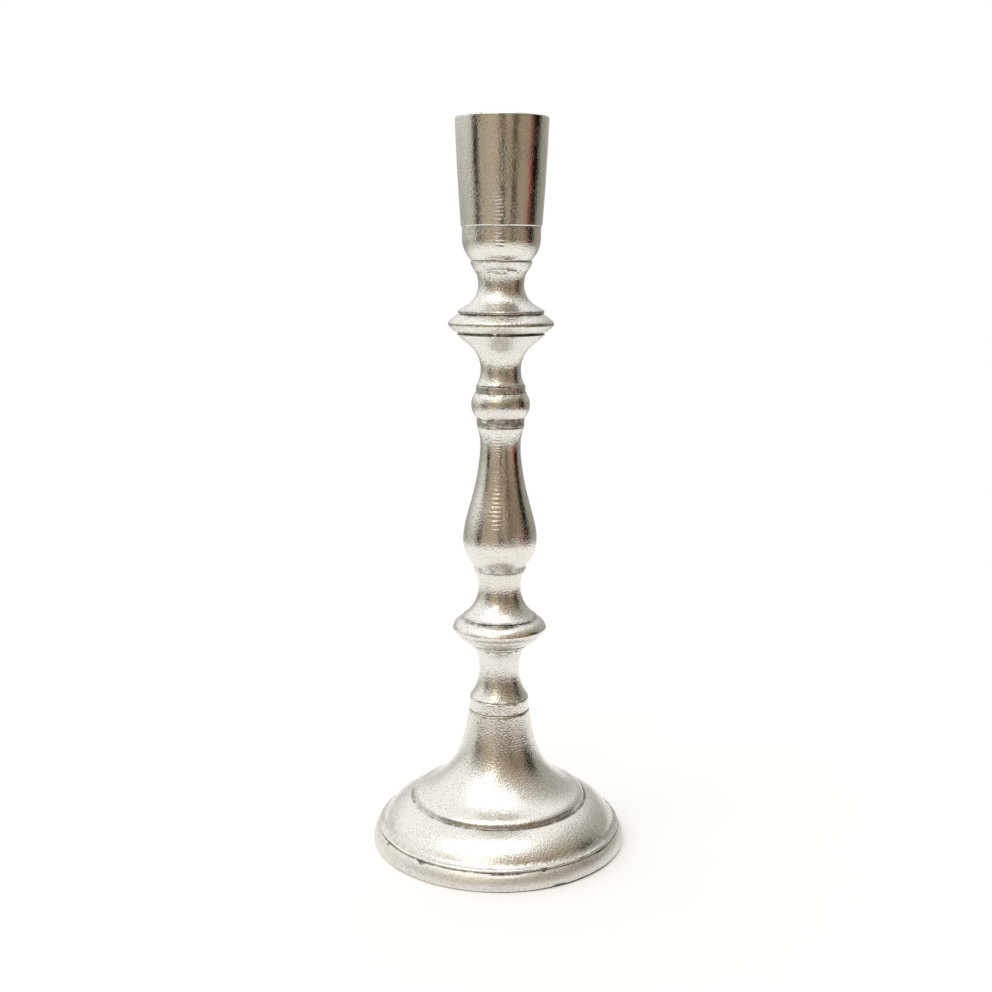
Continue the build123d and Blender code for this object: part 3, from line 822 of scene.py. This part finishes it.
def split_washer():
    """One coil pressed flat, with a slanted split whose half width is gap."""
    low, high, inner, outer, gap = NUT_SEAT, SPRING_SEAT, 3.06, 5.88, 0.5
    slant = math.tan(math.radians(20.0))
    loop = [
        (inner, high - 0.12), (inner, low + 0.12), (inner + 0.12, low), (outer - 0.12, low),
        (outer, low + 0.12), (outer, high - 0.12), (outer - 0.12, high), (inner + 0.12, high),
    ]
    steps, middle, size = 96, (low + high) / 2, len(loop)
    verts = []
    for i in range(steps + 1):
        for r, z in loop:
            lean = (z - middle) * slant
            start, stop = math.asin((gap - lean) / r), TAU - math.asin((gap + lean) / r)
            t = start + (stop - start) * i / steps
            verts.append((r * math.cos(t), r * math.sin(t), z))
    faces = []
    for i in range(steps):
        for k in range(size):
            m = (k + 1) % size
            faces.append((i * size + m, i * size + k, (i + 1) * size + k, (i + 1) * size + m))
    faces.append(tuple(range(size)))
    faces.append(tuple(steps * size + k for k in reversed(range(size))))
    made = new_object("split_washer", np.array(verts) * MM, faces)
    dress(made, "spring_washer", STEEL)


def nut():
    """An M6 nut: six flats whose corners are cut by a 30 degree cone at both ends."""
    steps, low, high, flat, corner_radius = 240, 35.8, NUT_SEAT, 5.0, 5.74
    turn = np.arange(steps) * TAU / steps
    from_corner = (turn + math.pi / 6) % (math.pi / 3) - math.pi / 6
    across = np.minimum(flat / np.cos(math.pi / 6 - np.abs(from_corner)), corner_radius)
    cut = (across - flat) * math.tan(math.radians(30.0))

    def level_ring(r, z):
        return 0 * turn + r, 0 * turn + z

    bore = ((3.35, high), (3.05, high - 0.3), (3.05, low + 0.3), (3.35, low))
    loop = [level_ring(r, z) for r, z in (*bore, (4.2, low), (4.85, low))]
    loop.append((across - 0.02, low + cut + 0.03))
    for share in (0.04, 0.35, 0.65, 0.96):
        loop.append((across, (low + cut + 0.06) * (1 - share) + (high - cut - 0.06) * share))
    loop.append((across - 0.02, high - cut - 0.03))
    loop += [level_ring(4.85, high), level_ring(4.2, high)]
    verts = np.concatenate([np.stack([r * np.cos(turn), r * np.sin(turn), z], 1) for r, z in loop])
    faces, _, _ = turned_faces(len(loop), steps, set())
    made = new_object("steel_nut", verts * MM, faces, smooth=False)
    dress(made, "hex_nut", STEEL)


felt_ring()
threaded_rod()
flat_washer()
split_washer()
nut()


# ------------------------------------------------------------------ floor, soft light and camera
def linear(level):
    """A display level of 0 to 1 as linear light."""
    return level / 12.92 if level <= 0.04045 else ((level + 0.055) / 1.055) ** 2.4


def tone(r, g, b):
    """A display colour of 0 to 255 as linear light."""
    return tuple(linear(c / 255) for c in (r, g, b))


def pale_floor():
    """A round pale table top that fades out well away from the object."""
    steps, rings, floor_radius = 96, 24, 1.0
    verts, faces = [(0, 0, 0)], []
    for i in range(1, rings + 1):
        r = floor_radius * i / rings
        for k in range(steps):
            verts.append((r * math.cos(TAU * k / steps), r * math.sin(TAU * k / steps), 0))
    for k in range(steps):
        m = (k + 1) % steps
        faces.append((0, 1 + k, 1 + m))
        for i in range(rings - 1):
            a, b = 1 + i * steps, 1 + (i + 1) * steps
            faces.append((a + k, b + k, b + m, a + m))
    floor = new_object("floor", np.array(verts, float), faces, smooth=False)
    n = Nodes("pale_floor")
    n.shader.inputs["Base Color"].default_value = (0.93, 0.935, 0.95, 1)
    n.shader.inputs["Emission Color"].default_value = (1, 1, 1, 1)
    n.shader.inputs["Emission Strength"].default_value = 0.08
    n.shader.inputs["Roughness"].default_value = 0.9
    n.shader.inputs["Specular IOR Level"].default_value = 0.1
    length = n.tree.nodes.new("ShaderNodeVectorMath")
    length.operation = "LENGTH"
    n.link(n.place, length.inputs[0])
    fade = n.ramp(length.outputs["Value"], (0.34, 1.0), (0.62, 0.0))
    n.link(fade, n.shader.inputs["Alpha"])
    floor.data.materials.append(n.material)


def soft_surround():
    """A plain room of soft light: white above and behind, beige around eye level in front."""
    world = bpy.data.worlds.new("surround")
    bpy.context.scene.world = world
    world.use_nodes = True
    tree = world.node_tree
    tree.nodes.clear()

    def node(kind, **settings):
        made = tree.nodes.new(kind)
        for key, value in settings.items():
            setattr(made, key, value)
        return made

    def calc(operation, a, b=0.0):
        made = node("ShaderNodeMath", operation=operation)
        feed(tree, made.inputs[0], a)
        feed(tree, made.inputs[1], b)
        return made.outputs[0]

    def step(value, low, high):
        made = node("ShaderNodeMapRange", interpolation_type="SMOOTHSTEP")
        made.inputs["From Min"].default_value = low
        made.inputs["From Max"].default_value = high
        tree.links.new(value, made.inputs["Value"])
        return made.outputs["Result"]

    def between(value, rising, falling):
        """1 between two soft edges, 0 outside them."""
        return calc("MULTIPLY", step(value, *rising), calc("SUBTRACT", 1.0, step(value, *falling)))

    def mix(amount, a, b, blend="MIX"):
        made = node("ShaderNodeMix", data_type="RGBA", blend_type=blend)
        tree.links.new(amount, made.inputs["Factor"])
        feed(tree, made.inputs["A"], a)
        feed(tree, made.inputs["B"], b)
        return made.outputs["Result"]

    one = node("ShaderNodeValue")
    one.outputs[0].default_value = 1.0
    always = one.outputs[0]

    def times(amount, wall, colour):
        """The wall, multiplied by a colour where amount is 1."""
        return mix(amount, wall, mix(always, wall, colour, "MULTIPLY"))

    direction = node("ShaderNodeTexCoord").outputs["Generated"]
    parts = node("ShaderNodeSeparateXYZ")
    tree.links.new(direction, parts.inputs[0])
    x, y, z = parts.outputs
    rise = calc("MULTIPLY", calc("ARCSINE", z), 180 / math.pi)
    turn = calc("MULTIPLY", calc("ARCTAN2", x, calc("MULTIPLY", y, -1.0)), 180 / math.pi)
    round_share = calc("ADD", calc("DIVIDE", turn, 360.0), 0.5)

    def ramp(interpolation, *stops):
        """Colours around the object, each at its direction in degrees."""
        made = node("ShaderNodeValToRGB")
        made.color_ramp.interpolation = interpolation
        tree.links.new(round_share, made.inputs["Fac"])
        elements = made.color_ramp.elements
        while len(elements) > 1:
            elements.remove(elements[-1])
        for i, (degrees, colour) in enumerate(stops):
            where = degrees / 360 + 0.5
            element = elements[0] if i == 0 else elements.new(where)
            element.position, element.color = where, (*colour, 1)
        return made.outputs["Color"]

    clear, white = (1, 1, 1), (1.12, 1.11, 1.085)
    # Wall colours by direction: 0 is the camera's side, positive to its right
    wall = ramp(
        "EASE",
        (-180, tone(220, 220, 220)), (-150, tone(196, 196, 196)), (-130, tone(188, 189, 184)),
        (-100, tone(220, 221, 210)), (-75, tone(220, 216, 203)), (-40, tone(208, 198, 177)),
        (-15, tone(216, 201, 180)), (10, tone(195, 181, 160)), (60, tone(182, 168, 147)),
        (110, tone(174, 171, 158)), (135, tone(180, 178, 170)), (160, tone(200, 199, 198)),
        (180, tone(220, 220, 220)),
    )
    # Darker upright shapes in front: two tall ones at the sides, two low ones between them
    near_black, umber = (0.02, 0.018, 0.015), (0.08, 0.06, 0.04)
    tall = ramp(
        "LINEAR",
        (-81, clear), (-76, (0.07, 0.035, 0.03)), (-63, (0.03, 0.022, 0.018)), (-58, clear),
        (-51, clear), (-48, (0.55, 0.53, 0.49)), (-45, clear),
        (79, clear), (81, near_black), (107, near_black), (109, clear),
    )
    short = ramp(
        "LINEAR",
        (-5, clear), (-3, (0.02, 0.016, 0.012)), (7, (0.02, 0.016, 0.012)), (9, clear),
        (25, clear), (28, umber), (38, umber), (41, clear),
    )
    crimson = ramp(
        "LINEAR",
        (71, clear), (74, (1.3, 0.62, 0.62)), (77, (1.9, 0.30, 0.42)), (80, (0.7, 0.10, 0.14)),
        (83, clear),
    )
    tall_band = between(rise, (-18.0, -12.0), (20.0, 36.0))
    low_band = between(rise, (-20.0, -14.0), (2.0, 7.0))
    high_band = between(rise, (7.0, 9.0), (16.0, 26.0))
    short_band = calc("ADD", low_band, calc("MULTIPLY", high_band, 0.85))
    right_side = between(turn, (14.0, 20.0), (76.0, 80.0))
    upper_right = calc("MULTIPLY", right_side, between(rise, (2.0, 9.0), (22.0, 36.0)))
    left_side = between(turn, (-66.0, -58.0), (-2.0, 4.0))
    upper_left = calc("MULTIPLY", left_side, between(rise, (3.0, 8.0), (16.0, 26.0)))
    crimson_band = between(rise, (-18.0, -13.0), (-1.0, 6.0))
    eye_level = between(rise, (-17.0, -11.0), (0.0, 9.0))
    for amount, colour in (
        (upper_right, (0.56, 0.51, 0.46)), (upper_left, (0.66, 0.60, 0.53)), (crimson_band, crimson),
        (tall_band, tall), (short_band, short), (eye_level, (0.76, 0.73, 0.69)),
    ):
        wall = times(amount, wall, colour)
    # White ceiling, reaching lowest on the left, and a pale floor all round
    tilt = calc("ADD", calc("MULTIPLY", y, 0.25), calc("MULTIPLY", z, 0.9))
    tilt = calc("ADD", calc("MULTIPLY", x, -0.35), tilt)
    overhead = step(tilt, 0.30, 0.78)
    below = calc("SUBTRACT", 1.0, step(rise, -20.0, -13.0))
    light = mix(below, wall, tone(222, 222, 208))
    light = mix(overhead, light, white)
    # A long soft light overhead, a little to the front and left, and a window lower down
    panel_long = between(x, (-0.70, -0.52), (0.26, 0.36))
    panel_wide = between(y, (-0.50, -0.38), (-0.12, 0.0))
    panel = calc("MULTIPLY", calc("MULTIPLY", panel_long, panel_wide), step(z, 0.3, 0.5))
    light = mix(panel, light, (2.4, 2.38, 2.3))
    window_side = between(turn, (-35.0, -30.0), (-13.0, -8.0))
    window = calc("MULTIPLY", window_side, between(rise, (26.0, 36.0), (50.0, 54.0)))
    light = mix(window, light, (2.6, 2.4, 2.05))
    # Seen directly, the surround is a plain white backdrop
    seen = node("ShaderNodeLightPath").outputs["Is Camera Ray"]
    light = mix(seen, light, clear)
    background = node("ShaderNodeBackground")
    tree.links.new(light, background.inputs["Color"])
    background.inputs["Strength"].default_value = 1.0
    out = node("ShaderNodeOutputWorld")
    tree.links.new(background.outputs[0], out.inputs["Surface"])


def camera():
    data = bpy.data.cameras.new("camera")
    data.sensor_width = 36.0
    data.lens = 47.0
    data.clip_start = 0.01
    made = bpy.data.objects.new("camera", data)
    made.location = (-0.0020, -0.4906, 0.2304)
    made.rotation_mode = "XYZ"
    looks_down, rolls = 10.55, -0.26
    made.rotation_euler = (math.radians(90 - looks_down), math.radians(rolls), 0.0)
    bpy.context.scene.collection.objects.link(made)
    bpy.context.scene.camera = made


pale_floor()
soft_surround()
camera()
bpy.context.scene.view_settings.view_transform = "Standard"
